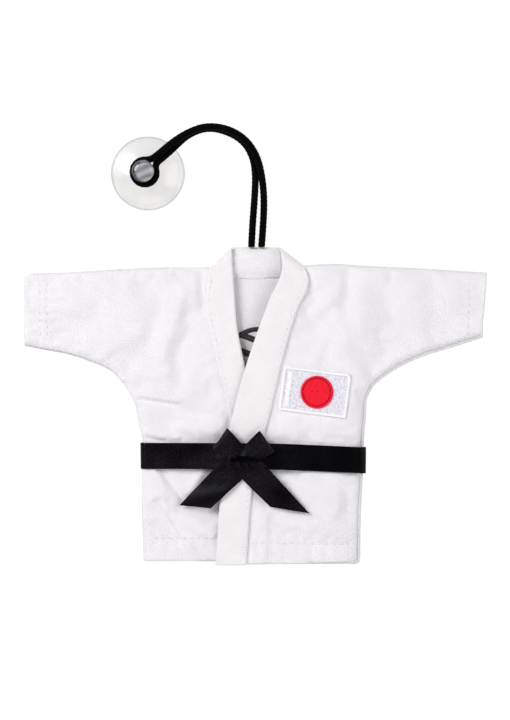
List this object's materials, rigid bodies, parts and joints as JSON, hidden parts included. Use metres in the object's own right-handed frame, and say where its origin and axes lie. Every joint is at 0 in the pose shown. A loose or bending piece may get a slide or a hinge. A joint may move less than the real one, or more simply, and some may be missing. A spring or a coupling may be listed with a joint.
{
  "type": "martial arts uniform",
  "caption": "miniature martial arts jacket with a tied ribbon belt, hanging loop and suction cup",
  "frame": {"origin": "centre of the bottom of the jacket's bounding box, cord and cup left out, as it lies on its back", "axes": "+X to the wearer's left, +Y to the collar, +Z out of the jacket's front"},
  "size_m": [0.1844, 0.1753, 0.0144],
  "materials": {
    "white_cotton": "bleached twill, matte",
    "white_thread": "satin stitch",
    "red_thread": "satin stitch",
    "black_thread": "satin stitch",
    "black_ribbon": "satin ribbon",
    "black_elastic": "round braided elastic",
    "clear_vinyl": "clear soft vinyl, glossy"
  },
  "bodies": {
    "jacket": {"back_panel": "white_cotton", "back_emblem": "black_thread", "back_neck_band": "white_cotton", "cord_bartack": "white_thread", "back_hem": "white_cotton", "right_front_panel": "white_cotton", "left_front_panel": "white_cotton", "right_lapel_band": "white_cotton", "left_lapel_band": "white_cotton", "right_front_hem": "white_cotton", "left_front_hem": "white_cotton", "right_side_seam": "white_cotton", "left_side_seam": "white_cotton", "right_shoulder_seam": "white_cotton", "left_shoulder_seam": "white_cotton", "patch_field": "white_thread", "patch_border": "white_thread", "patch_disc": "red_thread"},
    "right_sleeve_body": {"right_sleeve": "white_cotton", "right_underarm_seam": "white_cotton", "right_cuff_hem": "white_cotton"},
    "left_sleeve_body": {"left_sleeve": "white_cotton", "left_underarm_seam": "white_cotton", "left_cuff_hem": "white_cotton"},
    "belt": {"belt_front_run": "black_ribbon", "belt_back_run": "black_ribbon", "belt_right_turn": "black_ribbon", "belt_left_turn": "black_ribbon", "bow_knot": "black_ribbon", "bow_right_loop": "black_ribbon", "bow_left_loop": "black_ribbon", "bow_right_tail": "black_ribbon", "bow_left_tail": "black_ribbon"},
    "cord": {"elastic_cord": "black_elastic"},
    "cup": {"suction_cup": "clear_vinyl"}
  },
  "joints": [
    {"name": "right_sleeve_fold", "type": "hinge", "parent": "jacket", "child": "right_sleeve_body", "pos_m": [-0.052, 0.03, 0.0052], "axis": [0, 1, 0], "range_deg": [0, 150]},
    {"name": "left_sleeve_fold", "type": "hinge", "parent": "jacket", "child": "left_sleeve_body", "pos_m": [0.052, 0.03, 0.0057], "axis": [0, -1, 0], "range_deg": [0, 150]},
    {"name": "belt_slip", "type": "slide", "parent": "jacket", "child": "belt", "axis": [0, -1, 0], "range_m": [0, 0.008]},
    {"name": "cord_swing", "type": "hinge", "parent": "jacket", "child": "cord", "pos_m": [0.0004, 0.06335, 0.0034], "axis": [1, 0, 0], "range_deg": [0, 75]},
    {"name": "cup_spin", "type": "hinge", "parent": "cord", "child": "cup", "pos_m": [-0.0436, 0.0926, 0.008], "axis": [0, 0, 1], "continuous": true}
  ]
}
